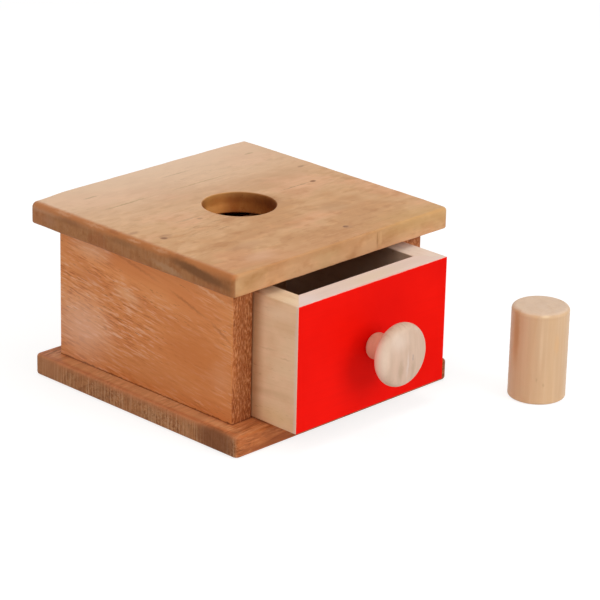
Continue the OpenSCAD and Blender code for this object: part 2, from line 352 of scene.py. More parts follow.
@dataclass(frozen=True)
class Rings:
    """Growth rings: bands by the distance from a pith line, bent by slow noise, each with a darker late edge.

    Pith and gap are in millimetres, the bend in gaps. Late wood rises and ends at the given parts of a gap,
    and a weak year has the least part of the share.
    """

    pith: Pair = (30.0, -120.0)
    gap: float = 7.0
    share: float = 0.3
    bend: float = 2.6
    wander: Triple = (9.0, 34.0, 34.0)
    rise: Pair = (0.3, 0.92)
    close: Pair = (1.0, 0.94)
    least: float = 0.3

    def amount(self, graph: NodeGraph, place: Socket) -> Socket:
        """Late wood from 0 to the share.

        Args:
            graph: Graph of the material.
            place: Length along the grain and the two distances across it, in metres.

        Returns:
            Output socket with the amount of late wood.
        """
        gap = self.gap * MM
        reach = graph.length(graph.spread(place, (0.0, 1.0, 1.0), (0.0, *(-part * MM for part in self.pith))))
        wander = graph.noise(place, self.wander, 3.0)
        phase = graph.math("DIVIDE", graph.plus(wander, self.bend * gap, reach), gap)
        turn = graph.math("FRACT", phase)
        late = graph.times(graph.step(turn, *self.rise), graph.step(turn, *self.close))
        year = graph.node("TexWhiteNoise", {"noise_dimensions": "1D"}, W=graph.math("FLOOR", phase))
        weak = self.least * self.share
        return graph.times(late, graph.plus(year.outputs[0], self.share - weak, weak))


@dataclass(frozen=True)
class Fibres:
    """Long fibres with finer hairs between them. Waves are per metre, along the grain and across it."""

    share: float = 0.3
    waves: Triple = (16.0, 620.0, 620.0)
    limits: Pair = (0.34, 0.74)
    hair_waves: Triple = (70.0, 2600.0, 2600.0)
    hair_share: float = 0.4

    def noises(self, graph: NodeGraph, place: Socket) -> tuple[Socket, Socket]:
        """Noises of the fibres and of the hairs, from about 0 to 1."""
        return graph.noise(place, self.waves, 3.0, 0.6), graph.noise(place, self.hair_waves, 1.0)

    def depth(self, graph: NodeGraph, fibre: Socket, hair: Socket, late: Socket) -> Socket:
        """Share of the deep tone: fibres on top of the late wood, with hairs that even out.

        Args:
            graph: Graph of the material.
            fibre: Noise of the fibres.
            hair: Noise of the hairs.
            late: Amount of late wood.

        Returns:
            Output socket from 0 to 1.
        """
        depth = graph.plus(graph.step(fibre, *self.limits), self.share, late)
        fine = self.hair_share * self.share
        return graph.math("SUBTRACT", graph.plus(hair, fine, depth), fine / 2, clamp=True)


@dataclass(frozen=True)
class Mottle:
    """Clouds of a slightly different tone, longer along the grain than across it. Sizes in millimetres."""

    tint: Triple
    share: float = 0.6
    size: Pair = (60.0, 22.0)
    limits: Pair = (0.38, 0.66)
    shift: float = 0.0

    def lay(self, graph: NodeGraph, place: Socket, tone: Socket) -> Socket:
        """Tints a colour where the clouds lie.

        Args:
            graph: Graph of the material.
            place: Length along the grain and the two distances across it, in metres.
            tone: Colour so far.

        Returns:
            Colour with the clouds.
        """
        cloud = graph.noise(place, lengthwise(self.size), 3.0, shift=scaled((1.0, 2.0, 1.0), self.shift))
        cover = graph.times(graph.step(cloud, *self.limits), self.share)
        return graph.blend(cover, tone, self.tint, Lay.TINT)


@dataclass(frozen=True)
class Flecks:
    """Short light and dark strokes along the grain, gathered in drifting patches or round one place.

    Strokes are light above the first limits of their noise and dark below the second ones. Away from the
    focus the spare part of their strength is left.
    """

    light: Triple
    dark: Triple
    share: Pair = (0.4, 0.4)
    size: Pair = (9.0, 1.2)
    patch: Pair = (0.42, 0.62)
    focus: Mark | None = None
    spare: float = 0.3
    limits: tuple[Pair, Pair] = ((0.52, 0.68), (0.48, 0.32))
    drift: Triple = (14.0, 38.0, 38.0)

    def lay(self, graph: NodeGraph, place: Socket, spot: Socket, tone: Socket) -> Socket:
        """Lays the strokes over a colour.

        Args:
            graph: Graph of the material.
            place: Length along the grain and the two distances across it, in metres.
            spot: Object's own place in metres.
            tone: Colour so far.

        Returns:
            Colour with the strokes.
        """
        stroke = graph.noise(place, lengthwise(self.size), 2.0, 0.62, Layer.STROKE.value)
        patch = graph.step(graph.noise(place, self.drift, 2.0, shift=Layer.PATCH.value), *self.patch)
        if self.focus:
            strength = graph.plus(self.focus.cover(graph, spot), 1 - self.spare, self.spare)
            patch = graph.times(patch, strength)
        for colour, share, limits in zip((self.light, self.dark), self.share, self.limits):
            cover = graph.times(graph.step(stroke, *limits), graph.times(patch, share))
            tone = graph.blend(cover, tone, colour)
        return tone


@dataclass(frozen=True)
class Pores:
    """Thin open vessels: peaks of a noise that is drawn out along the grain, gathered in rows."""

    colour: Triple
    share: float = 0.5
    size: Pair = (5.0, 0.5)
    keep: Pair = (0.62, 0.74)
    rows: Pair = (0.4, 0.6)
    row_waves: Triple = (7.0, 190.0, 190.0)

    def amount(self, graph: NodeGraph, place: Socket) -> Socket:
        """How much of a place is open vessel.

        Args:
            graph: Graph of the material.
            place: Length along the grain and the two distances across it, in metres.

        Returns:
            Output socket from 0 to 1.
        """
        vessel = graph.noise(place, lengthwise(self.size), 1.0, shift=Layer.VESSEL.value)
        row = graph.noise(place, self.row_waves, 1.0, shift=Layer.ROW.value)
        return graph.times(graph.step(vessel, *self.keep), graph.step(row, *self.rows))


@dataclass(frozen=True)
class EndGrain:
    """What shows where the fibres are cut across: another tone with rays as fine light and dark stripes.

    The turn gives how much of the normal lies along the grain where the cut starts and where it is full.
    """

    tint: Triple = (0.62, 0.5, 0.42)
    light: Triple = (0.8, 0.6, 0.4)
    ray: Pair = (0.0, 0.3)
    ray_size: Pair = (1.1, 14.0)
    turn: Pair = (0.5, 0.92)
    dark: Triple = (0.5, 0.4, 0.33)
    along: float = 20.0
    limits: tuple[Pair, Pair] = ((0.5, 0.66), (0.5, 0.34))

    def lay(self, graph: NodeGraph, place: Socket, end: Socket, tone: Socket) -> Socket:
        """Tints and stripes the cut ends.

        Args:
            graph: Graph of the material.
            place: Length along the grain and the two distances across it, in metres.
            end: Amount of end grain from 0 to 1.
            tone: Colour so far.

        Returns:
            Colour with its ends.
        """
        cut = graph.blend(1.0, tone, self.tint, Lay.TINT)
        waves = (self.along, *(1 / (size * MM) for size in self.ray_size))
        stripe = graph.noise(place, waves, 2.0, 0.65, Layer.RAY.value)
        colours, ways = (self.light, self.dark), (Lay.COVER, Lay.TINT)
        for share, limits, colour, how in zip(self.ray, self.limits, colours, ways):
            cut = graph.blend(graph.times(graph.step(stripe, *limits), share), cut, colour, how)
        return graph.blend(end, tone, cut)


@dataclass(frozen=True)
class Wear:
    """Arrises that hands have rubbed to another tone, within a patchy reach in millimetres."""

    tint: Triple = (1.1, 1.1, 1.1)
    share: float = 0.7
    reach: float = 1.6
    waves: float = 160.0
    patchy: float = 1.2
    limits: Pair = (1.6, 0.7)

    def amount(self, graph: NodeGraph, spot: Socket, box: Box) -> Socket:
        """Wear by the second smallest distance to the faces of the board's box, which is small at arrises.

        Args:
            graph: Graph of the material.
            spot: Object's own place in metres.
            box: Lowest and highest corner of the board in metres.

        Returns:
            Output socket from 0 to 1.
        """
        low, high = (np.array(corner) for corner in box)
        centred = graph.spread(spot, ONES, scaled(low + high, -0.5))
        folded = graph.node("VectorMath", {"operation": "ABSOLUTE"}, Vector=centred).outputs[0]
        x, y, z = graph.split(graph.spread(folded, scaled(ONES, -1.0), scaled(high - low, 0.5)))
        lesser, greater = graph.math("MINIMUM", x, y), graph.math("MAXIMUM", x, y)
        second = graph.math("MAXIMUM", lesser, graph.math("MINIMUM", greater, z))
        reach = self.reach * MM
        patchy = graph.plus(graph.noise(spot, self.waves, 3.0), self.patchy * reach, second)
        return graph.step(patchy, *(limit * reach for limit in self.limits))


@dataclass(frozen=True)
class Feel:
    """How a wood shines, and what its layers add to its height and its roughness.

    The relief is a strength and a depth in millimetres. Fibres and pores have a part of the height and one
    of the roughness.
    """

    roughness: float = 0.52
    specular: float = 0.22
    relief: Pair = (0.25, 0.4)
    fibre: Pair = (0.5, 0.16)
    pore: Pair = (-0.8, 0.15)
    hair_height: float = 0.3
    worn_roughness: float = -0.08
    end_roughness: float = 0.15


@dataclass(frozen=True)
class WoodFinish:
    """Solid wood: rings round a pith line, long fibres, clouds, flecks, pores, marks and worn arrises.

    A board's place is split into a length along the grain and two distances across it. Every layer is a
    function of that place, so that streaks on a face meet the dots and arcs of the cut end. The tilt is in
    degrees. Marks have uneven outlines where a noise shakes the place by up to a millimetre.
    """

    name: str
    pale: Triple
    deep: Triple
    grain: GrainAxis = GrainAxis.X
    tilt: Pair = (0.0, 0.0)
    rings: Rings = Rings()
    fibres: Fibres = Fibres()
    mottles: tuple[Mottle, ...] = (Mottle((0.93, 0.86, 0.78)),
                                   Mottle((1.05, 0.97, 0.96), 0.6, (34.0, 13.0), shift=5.5))
    flecks: Flecks | None = None
    pores: Pores | None = None
    end: EndGrain = EndGrain()
    wear: Wear = Wear()
    marks: tuple[Mark, ...] = ()
    feel: Feel = Feel()
    seed: float = 0.0
    shake_waves: float = 420.0

    def place(self, graph: NodeGraph, coords: bpy.types.Node) -> tuple[Socket, Socket]:
        """Splits the object's own place into length along the grain and distances across it.

        Args:
            graph: Graph of the material.
            coords: Texture coordinate node.

        Returns:
            Vector of length, first and second distance, and the amount of end grain from 0 to 1.
        """
        parts = graph.split(coords.outputs["Object"])
        along, *across = (parts[k] for k in self.grain.value)
        first, second = (graph.plus(along, math.tan(math.radians(angle)), part)
                         for angle, part in zip(self.tilt, across))
        joined = graph.node("CombineXYZ", X=graph.math("ADD", along, self.seed), Y=first, Z=second).outputs[0]
        facing = graph.split(coords.outputs["Normal"])[self.grain.value[0]]
        return joined, graph.step(graph.math("ABSOLUTE", facing), *self.end.turn)

    def ragged(self, graph: NodeGraph, spot: Socket) -> Socket:
        """Place that is shaken by up to a millimetre, so that marks get uneven outlines."""
        shake = graph.node("TexNoise", {"noise_dimensions": "3D"}, Vector=spot, Scale=self.shake_waves,
                           Detail=2.0)
        lowest = graph.spread(spot, ONES, scaled(ONES, -MM))
        return graph.spread(shake.outputs["Color"], scaled(ONES, 2 * MM), lowest)

    def colour(self, graph: NodeGraph, box: Box) -> tuple[Socket, Socket, Socket]:
        """Colour of the wood and what its relief and gloss need.

        Args:
            graph: Graph of the material.
            box: Lowest and highest corner of the board in metres.

        Returns:
            Colour, relief height and roughness.
        """
        coords = graph.node("TexCoord")
        spot = coords.outputs["Object"]
        place, end = self.place(graph, coords)
        fibre, hair = self.fibres.noises(graph, place)
        late = self.rings.amount(graph, place)
        tone = graph.blend(self.fibres.depth(graph, fibre, hair, late), self.pale, self.deep)
        for mottle in self.mottles:
            tone = mottle.lay(graph, place, tone)
        feel = self.feel
        height = graph.plus(hair, feel.hair_height, graph.times(fibre, feel.fibre[0]))
        gloss = graph.plus(fibre, feel.fibre[1], feel.roughness - feel.fibre[1] / 2)
        if self.flecks:
            tone = self.flecks.lay(graph, place, spot, tone)
        if self.pores:
            pore = self.pores.amount(graph, place)
            tone = graph.blend(graph.times(pore, self.pores.share), tone, self.pores.colour)
            height = graph.plus(pore, feel.pore[0], height)
            gloss = graph.plus(pore, feel.pore[1], gloss)
        tone = self.end.lay(graph, place, end, tone)
        shaken = self.ragged(graph, spot) if self.marks else spot
        for mark in self.marks:
            tone = mark.lay(graph, spot if mark.crisp else shaken, tone)
        worn = self.wear.amount(graph, spot, box)
        tone = graph.blend(graph.times(worn, self.wear.share), tone, self.wear.tint, Lay.TINT)
        gloss = graph.plus(end, feel.end_roughness, graph.plus(worn, feel.worn_roughness, gloss))
        return tone, height, gloss

    def build(self, node: str, box: Box) -> bpy.types.Material:
        """Makes the material for one board.

        Args:
            node: Node that wears it.
            box: Lowest and highest corner of the board in metres.

        Returns:
            Wood material.
        """
        graph = NodeGraph.material(f"{node}_{self.name}")
        tone, height, gloss = self.colour(graph, box)
        return graph.coat(tone, gloss, height, self.feel.relief, Specular_IOR_Level=self.feel.specular)


@dataclass(frozen=True)
class PaintFinish:
    """Paint on the outer face of a wooden board, toward -Y; of its arrises only the lowest is painted.

    Lengths are in millimetres and waves per metre. The paint ends at a depth behind the face, over a ragged
    feather, and runs further back round the foot, which ends between two heights. The gloss and the sheen go
    from bare wood to paint.
    """

    name: str
    wood: WoodFinish
    paint: Triple
    depth: float = 0.22
    feather: Pair = (0.34, 0.06)
    ragged: float = 0.3
    foot: Pair = (3.0, 1.5)
    foot_run: float = 0.8
    ragged_waves: float = 700.0
    cloud_waves: float = 22.0
    cloud_limits: Pair = (0.3, 0.75)
    peel_waves: float = 1500.0
    brush_waves: Triple = (30.0, 900.0, 900.0)
    brush_limits: Pair = (0.4, 0.7)
    cloud_tint: Triple = (0.9, 0.6, 0.5)
    brush_tint: Triple = (0.92, 0.8, 0.8)
    brush_share: float = 0.3
    roughness: Pair = (0.53, 0.14)
    heights: Triple = (0.6, 0.25, 0.2)
    relief: Pair = (0.2, 0.2)
    sheen: Pair = (0.2, 0.05)

    def cover(self, graph: NodeGraph, spot: Socket, box: Box) -> Socket:
        """Where the paint lies.

        Args:
            graph: Graph of the material.
            spot: Object's own place in metres.
            box: Lowest and highest corner of the board in metres.

        Returns:
            Output socket from 0 to 1.
        """
        _, inset, rise = graph.split(graph.spread(spot, ONES, (0.0, -box[0][1], -box[0][2])))
        foot = graph.step(rise, *(height * MM for height in self.foot))
        inset = graph.plus(foot, -self.foot_run * MM, inset)
        inset = graph.plus(graph.noise(spot, self.ragged_waves, 2.0), self.ragged * MM, inset)
        return graph.step(inset, *((self.depth + edge) * MM for edge in self.feather))

    def build(self, node: str, box: Box) -> bpy.types.Material:
        """Makes the material: wood everywhere, paint where the surface lies on the outer face.

        Args:
            node: Node that wears it.
            box: Lowest and highest corner of the board in metres.

        Returns:
            Paint-on-wood material.
        """
        graph = NodeGraph.material(f"{node}_{self.name}")
        tone, height, gloss = self.wood.colour(graph, box)
        spot = graph.node("TexCoord").outputs["Object"]
        cover = self.cover(graph, spot, box)
        cloud = graph.noise(spot, self.cloud_waves, 3.0)
        peel = graph.noise(spot, self.peel_waves, 1.0)
        brush = graph.noise(spot, self.brush_waves, 2.0)
        clouded = graph.step(cloud, *self.cloud_limits)
        red = graph.blend(clouded, self.paint, scaled(self.paint, self.cloud_tint))
        stroke = graph.times(graph.step(brush, *self.brush_limits), self.brush_share)
        red = graph.blend(stroke, red, scaled(self.paint, self.brush_tint))
        rough, patchy = self.roughness
        gloss = graph.between(cover, gloss, graph.plus(cloud, patchy, rough))
        step, ridge, skin_height = self.heights
        film = graph.plus(peel, skin_height, graph.plus(brush, ridge, graph.times(cover, step)))
        height = graph.between(cover, height, film)
        return graph.coat(graph.blend(cover, tone, red), gloss, height, self.relief,
                          Specular_IOR_Level=graph.between(cover, *self.sheen))


@dataclass(frozen=True)
class SteelFinish:
    """Zinc-plated steel with brushed scratches and slightly dulled patches. Waves are per metre."""

    name: str
    tone: Triple = (0.58, 0.56, 0.5)
    dulled: float = 0.7
    roughness: Pair = (0.22, 0.25)
    patch_waves: float = 420.0
    patch_limits: Pair = (0.35, 0.7)
    scratch_waves: Triple = (5200.0, 700.0, 700.0)
    relief: Pair = (0.15, 0.1)

    def build(self, node: str, box: Box) -> bpy.types.Material:
        """Makes the material.

        Args:
            node: Node that wears it.
            box: Lowest and highest corner, which the plating doesn't need.

        Returns:
            Metal material.
        """
        graph = NodeGraph.material(f"{node}_{self.name}")
        spot = graph.node("TexCoord").outputs["Object"]
        patch = graph.noise(spot, self.patch_waves, 3.0)
        dull = graph.step(patch, *self.patch_limits)
        tone = graph.blend(dull, self.tone, scaled(self.tone, self.dulled))
        rough, patchy = self.roughness
        scratch = graph.noise(spot, self.scratch_waves, 2.0)
        return graph.coat(tone, graph.plus(patch, patchy, rough), scratch, self.relief, Metallic=1.0)


Finish = WoodFinish | PaintFinish | SteelFinish


def dress(node: str, finish: Finish, piece: bpy.types.Object | None = None) -> None:
    """Puts a finish on a solid, or on the piece that stands for it.

    Args:
        node: Node of the frame.
        finish: Finish to build.
        piece: New piece that replaces the node, if there is one.
    """
    low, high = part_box(node)
    material = finish.build(node, (tuple(low), tuple(high)))
    slots = (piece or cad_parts[node]).data.materials
    slots.clear()
    slots.append(material)
    LOG.info("%s wears %s", piece.name if piece else node, material.name)


def skin(name: str, rings: np.ndarray, looped: bool) -> bpy.types.Object:
    """Makes a closed mesh over a grid of closed rings.

    Neighbouring points of a ring and of the next ring make quads. Where the grid isn't looped, its first
    and last rings are single points and close with fans. The faces are turned outward by the sign of the
    enclosed volume, the sum of the tetrahedra between the origin and each triangle.

    Args:
        name: Name of the piece.
        rings: Points in metres, shaped rings by columns by 3.
        looped: Whether the last ring joins the first.

    Returns:
        The new object, linked to the scene.
    """
    columns = rings.shape[1]
    column = np.arange(columns)
    beside = np.roll(column, -1)
    inner = rings if looped else rings[1:-1]
    start = np.arange(len(inner))[:, None] * columns + (0 if looped else 1)
    ahead = np.roll(start, -1, axis=0)
    quads = np.stack((start + column, start + beside, ahead + beside, ahead + column), axis=-1)
    quads = (quads if looped else quads[:-1]).reshape(-1, 4)
    points = inner.reshape(-1, 3)
    fans = np.empty((0, 3), dtype=int)
    if not looped:
        points = np.concatenate((rings[:1, 0], points, rings[-1:, 0]))
        first, last = np.zeros_like(column), np.full_like(column, len(points) - 1)
        lower, upper = start[0], start[-1]
        fans = np.concatenate((np.stack((first, lower + beside, lower + column), axis=-1),
                               np.stack((last, upper + column, upper + beside), axis=-1)))
    corners = np.concatenate((quads[:, :3], quads[:, [0, 2, 3]], fans))
    a, b, c = (points[corners[:, k]] for k in range(3))
    if np.einsum("ij,ij->", a, np.cross(b, c)) < 0:
        quads, fans = quads[:, ::-1], fans[:, ::-1]
    mesh = bpy.data.meshes.new(name)
    mesh.from_pydata(points.tolist(), [], quads.tolist() + fans.tolist())
    mesh.polygons.foreach_set("use_smooth", np.ones(len(mesh.polygons), dtype=bool))
    mesh.update()
    piece = bpy.data.objects.new(name, mesh)
    bpy.context.collection.objects.link(piece)
    return piece


def arc(centre: Pair, radius: float, start: float, stop: float, count: int) -> np.ndarray:
    """Points on a circle at even degrees: the centre plus the radius times their cosine and sine."""
    angle = np.radians(np.linspace(start, stop, count))
    return np.stack((centre[0] + radius * np.cos(angle), centre[1] + radius * np.sin(angle)), axis=-1)


def turned(name: str, parts: tuple, foot: Triple, axis: GrainAxis, way: float,
           columns: int) -> bpy.types.Object:
    """Turns a half section about an axis: each radius goes round a full circle at its height.

    Args:
        name: Name of the piece.
        parts: Stretches of the section, each rows of radius and height in millimetres, from pole to pole.
        foot: Point of the axis at height 0, in metres.
        axis: Axis of the lathe.
        way: 1 where the height grows along the axis, -1 against it.
        columns: Points on each ring.

    Returns:
        The new object.
    """
    section = np.concatenate([np.array(part) for part in parts])
    angle = np.linspace(0, 2 * np.pi, columns, endpoint=False)
    rings = np.empty((len(section), columns, 3))
    radius, height = section.T[:, :, None] * MM
    along, first, second = axis.value
    rings[..., along] = foot[along] + way * height
    rings[..., first] = foot[first] + radius * np.cos(angle)
    rings[..., second] = foot[second] + radius * np.sin(angle)
    return skin(name, rings, looped=False)


@dataclass
class Case:
    """Fixed body: base, side walls, back wall, fasteners and the top board with its hole.

    Lengths are in millimetres. The top board's arrises are eased by hand. A station from 0 to 4 goes round
    the board, one for each side and the corner after it, in the order right, back, left, front. Four values
    give the easing in the middle of each side, or at the corner after it, and the ease keys say where in a
    station a side's value starts and ends and where a corner's does. Nicks have a station, a width in
    stations and a depth.
    """

    hole_radius: float = 20.0
    hole_rim: float = 1.0
    corner_round: Quad = (2.2, 3.8, 2.8, 2.6)
    corner_least: float = 0.3
    upper_side: Quad = (1.5, 1.0, 2.7, 1.1)
    upper_corner: Quad = (1.9, 3.4, 2.0, 2.2)
    lower_side: Quad = (1.1, 1.0, 1.0, 0.9)
    ease_keys: Quad = (0.09, 0.82, 0.93, 1.01)
    side_share: float = 0.94
    upper_waves: tuple[int, ...] = (11, 17, 29, 46)
    upper_sanding: float = 0.25
    lower_waves: tuple[int, ...] = (9, 14, 31)
    lower_sanding: float = 0.3
    edge_waves: tuple[int, int] = (13, 5)
    edge_sanding: float = 0.05
    edge_phase: float = 1.0
    nicks: tuple[Triple, ...] = ((2.13, 0.012, 0.6), (2.3, 0.02, 0.7), (2.345, 0.008, 0.5),
                                 (2.52, 0.015, 0.45), (2.66, 0.01, 0.5), (2.81, 0.02, 0.35),
                                 (0.37, 0.015, 0.3))
    face_shares: tuple[float, ...] = (0.004, 0.03, 0.2, 0.4, 0.6, 0.8, 0.97, 0.996)
    edge_shares: Triple = (0.06, 0.5, 0.94)
    per_side: int = 150
    per_corner: int = 9
    per_arris: int = 9
    per_hole: int = 4

    def columns(self) -> tuple[np.ndarray, np.ndarray, np.ndarray]:
        """Columns round the board, along each side and then round the corner after it.

        Returns:
            Place between the corner centres from -1 to 1, outward direction, and station.
        """
        middle, outward, station = [], [], []
        run = np.linspace(-1, 1, self.per_side)
        bend = np.linspace(0, np.pi / 2, self.per_corner + 2)[1:-1]
        for side in range(4):
            turn = side * np.pi / 2
            normal = np.array((np.cos(turn), np.sin(turn)))
            tangent = np.array((-np.sin(turn), np.cos(turn)))
            middle += [normal + run[:, None] * tangent, np.tile(normal + tangent, (len(bend), 1))]
            corner = np.stack((np.cos(turn + bend), np.sin(turn + bend)), axis=-1)
            outward += [np.tile(normal, (len(run), 1)), corner]
            corner_share = (1 - self.side_share) * bend / (np.pi / 2)
            station += [side + self.side_share * (run + 1) / 2, side + self.side_share + corner_share]
        return np.concatenate(middle), np.concatenate(outward), np.concatenate(station)

    def around(self, station: np.ndarray, sides: Quad, corners: Quad) -> np.ndarray:
        """Easing at each column: side values in the middle, corner values at the corners, straight between.

        Args:
            station: Station of each column.
            sides: Value in the middle of each side.
            corners: Value at the corner after each side.

        Returns:
            One value for each column.
        """
        keys = np.concatenate([np.array(self.ease_keys) + side for side in range(4)])
        values = np.stack((sides, sides, corners, corners), axis=-1).ravel()
        return np.interp(station, keys, values, period=4)

    def sanding(self, station: np.ndarray, waves: tuple[int, ...], depth: float) -> np.ndarray:
        """Unevenness left by hand sanding: sines with whole numbers of waves round the board, added up."""
        rows = np.array(waves)[:, None] * station * np.pi / 2 + np.arange(len(waves))[:, None]
        return depth * np.sin(rows).mean(axis=0)

    def easing(self, station: np.ndarray) -> tuple[np.ndarray, np.ndarray, np.ndarray, np.ndarray]:
        """Sizes of the edges at each column; a nick deepens the upper arris by a bell curve.

        Args:
            station: Station of each column.

        Returns:
            Corner radius, upper easing, lower easing and inset of the edge.
        """
        corner = self.around(station, self.corner_round, self.corner_round)
        upper = self.around(station, self.upper_side, self.upper_corner)
        upper += self.sanding(station, self.upper_waves, self.upper_sanding)
        places, widths, depths = np.array(self.nicks).T
        offsets = (station[:, None] - places + 2) % 4 - 2
        upper += (np.exp(-((offsets / widths) ** 2)) * depths).sum(axis=1)
        lower = self.around(station, self.lower_side, self.lower_side)
        lower += self.sanding(station, self.lower_waves, self.lower_sanding)
        fine, coarse = (station * np.pi / 2 * waves for waves in self.edge_waves)
        edge = self.edge_sanding * (1 + np.sin(fine + self.edge_phase) * np.sin(coarse))
        return corner, upper, lower, edge

    def top_board(self) -> bpy.types.Object:
        """Builds the top board as a ring-shaped skin.

        Each ring runs round the board. The rings go up the hole's wall, over its rim, straight out across
        the top face, round the upper arris by a quarter circle, down the edge, round the lower arris and
        back under the board. A ring at an inset follows a rectangle that is smaller by the inset, whose
        corner radius is smaller by it too.

        Returns:
            The new object.
        """
        low, high = (np.array(corner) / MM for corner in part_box("top_board"))
        half = (high - low)[:2] / 2
        floor, top = low[2], high[2]
        middle, outward, station = self.columns()
        corner, upper, lower, edge = self.easing(station)
        rings: list[np.ndarray] = []

        def outline(inset: np.ndarray) -> np.ndarray:
            """Ring at an inset, with the radius of its corners never under the least one."""
            radius = np.maximum(corner - inset, self.corner_least)[:, None]
            return middle * (half - inset[:, None] - radius) + outward * radius

        def add(flat: np.ndarray, height: np.ndarray | float) -> None:
            """Adds a ring at a height, which may differ from column to column."""
            rings.append(np.column_stack((flat, np.broadcast_to(height, len(flat)))))

        heading = outline(edge)
        heading = heading / np.linalg.norm(heading, axis=1, keepdims=True)
        bends = np.linspace(0, np.pi / 2, self.per_arris)
        curve = list(zip(1 - np.cos(bends), 1 - np.sin(bends)))
        hole, rim = self.hole_radius, self.hole_rim
        near = heading * (hole + rim)
        over, under = outline(edge + upper), outline(edge + lower)
        for height in np.linspace(floor + rim, top - rim, self.per_hole):
            add(heading * hole, height)
        for out, down in curve[1:]:
            add(heading * (hole + rim * out), top - rim * down)
        for share in self.face_shares:
            add(near + (over - near) * share, top)
        for down, back in curve:
            add(outline(edge + upper * back), top - upper * down)
        for share in self.edge_shares:
            add(outline(edge), top - upper + (floor + lower - top + upper) * share)
        for back, rise in curve:
            add(outline(edge + lower * back), floor + lower * rise)
        for share in self.face_shares:
            add(under + (near - under) * share, floor)
        for rise, out in curve[:-1]:
            add(heading * (hole + rim * out), floor + rim * rise)
        grid = np.stack(rings)
        grid[..., :2] += (low + high)[:2] / 2
        piece = skin("top_board_eased", grid * MM, looped=True)
        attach(piece, "case")
        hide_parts("top_board")
        return piece

    def build(self) -> None:
        """Builds the top board and dresses the case."""
        dress("top_board", TOP_WOOD, self.top_board())
        dress("base_board", BASE_WOOD)
        dress("left_wall", WALL_WOOD)
        dress("right_wall", replace(WALL_WOOD, seed=13.7, marks=()))
        dress("back_wall", replace(WALL_WOOD, seed=21.9, grain=GrainAxis.X, marks=()))
        for name in ("top_dowels", "back_dowels"):
            dress(name, DOWEL_WOOD)
        dress("base_screws", STEEL)


@dataclass
class Drawer:
    """Sliding drawer with its turned knob.

    Lengths are in millimetres. The margins place rings just beside the curves, which keeps flat and straight
    parts even in their shading. Tool marks ripple over the knob's dome and fade at its middle.
    """

    knob_radius: float = 17.25
    knob_out: float = 25.0
    knob_rim: float = 4.75
    knob_dome: float = 2.0
    stem_radius: float = 7.25
    stem_foot: float = 3.0
    cove: float = 3.5
    foot_margin: float = 0.3
    stem_margin: float = 0.4
    ripple: float = 0.012
    ripple_pitch: float = 1.3
    ripple_fade: float = 2.0
    knob_columns: int = 144
    dome_points: int = 60
    rim_points: int = 28
    curve_points: int = 10

    def knob_section(self) -> tuple:
        """Half section of the knob: foot, stem, hollow, back of the head, rolled rim and dome.

        The rim's circle touches the dome's circle from inside, so its centre lies on the circle whose
        radius is the dome's less the rim's.

        Returns:
            Stretches of the section, each rows of radius and height.
        """
        dome = (self.knob_radius**2 + self.knob_dome**2) / (2 * self.knob_dome)
        dome_foot = self.knob_out - dome
        rim_x = self.knob_radius - self.knob_rim
        rim_z = dome_foot + math.sqrt((dome - self.knob_rim) ** 2 - rim_x**2)
        back = rim_z - self.knob_rim
        meet = math.degrees(math.atan2(rim_z - dome_foot, rim_x))
        crown = arc((0.0, dome_foot), dome, meet, 90.0, self.dome_points)[1:]
        fade = np.clip(crown[:, 0] / self.ripple_fade, 0, 1)
        crown[:, 1] += self.ripple * np.sin(2 * np.pi * crown[:, 0] / self.ripple_pitch) * fade
        stem, foot, cove = self.stem_radius, self.stem_foot, self.cove
        return ([(0.0, 0.0), (stem - foot - self.foot_margin, 0.0)],
                arc((stem - foot, foot), foot, -90.0, 0.0, self.curve_points),
                [(stem, foot + self.stem_margin), (stem, back - cove - self.stem_margin)],
                arc((stem + cove, back - cove), cove, 180.0, 90.0, self.curve_points),
                arc((rim_x, rim_z), self.knob_rim, -90.0, meet, self.rim_points),
                crown)

    def knob(self) -> bpy.types.Object:
        """Turns the knob about its axis, from the drawer front outward.

        Returns:
            The new object.
        """
        low, high = (np.array(corner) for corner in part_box("knob"))
        middle = (low + high) / 2
        foot = (float(middle[0]), float(high[1]), float(middle[2]))
        piece = turned("turned_knob", self.knob_section(), foot, GrainAxis.Y, -1.0, self.knob_columns)
        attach(piece, "drawer")
        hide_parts("knob")
        return piece

    def build(self) -> None:
        """Builds the knob and dresses the drawer."""
        dress("knob", KNOB_WOOD, self.knob())
        dress("drawer_front", RED_FRONT)
        dress("drawer_left_side", SIDE_WOOD)
        dress("drawer_right_side", RIGHT_SIDE_WOOD)
        dress("drawer_back", replace(SIDE_WOOD, seed=17.8, grain=GrainAxis.X, marks=(BACK_INSIDE_PAINTED_SHADE,)))
        dress("drawer_bottom", PANEL_WOOD)
        dress("mitre_splines", DOWEL_WOOD)
        for name in ("back_brads", "knob_screw"):
            dress(name, STEEL)


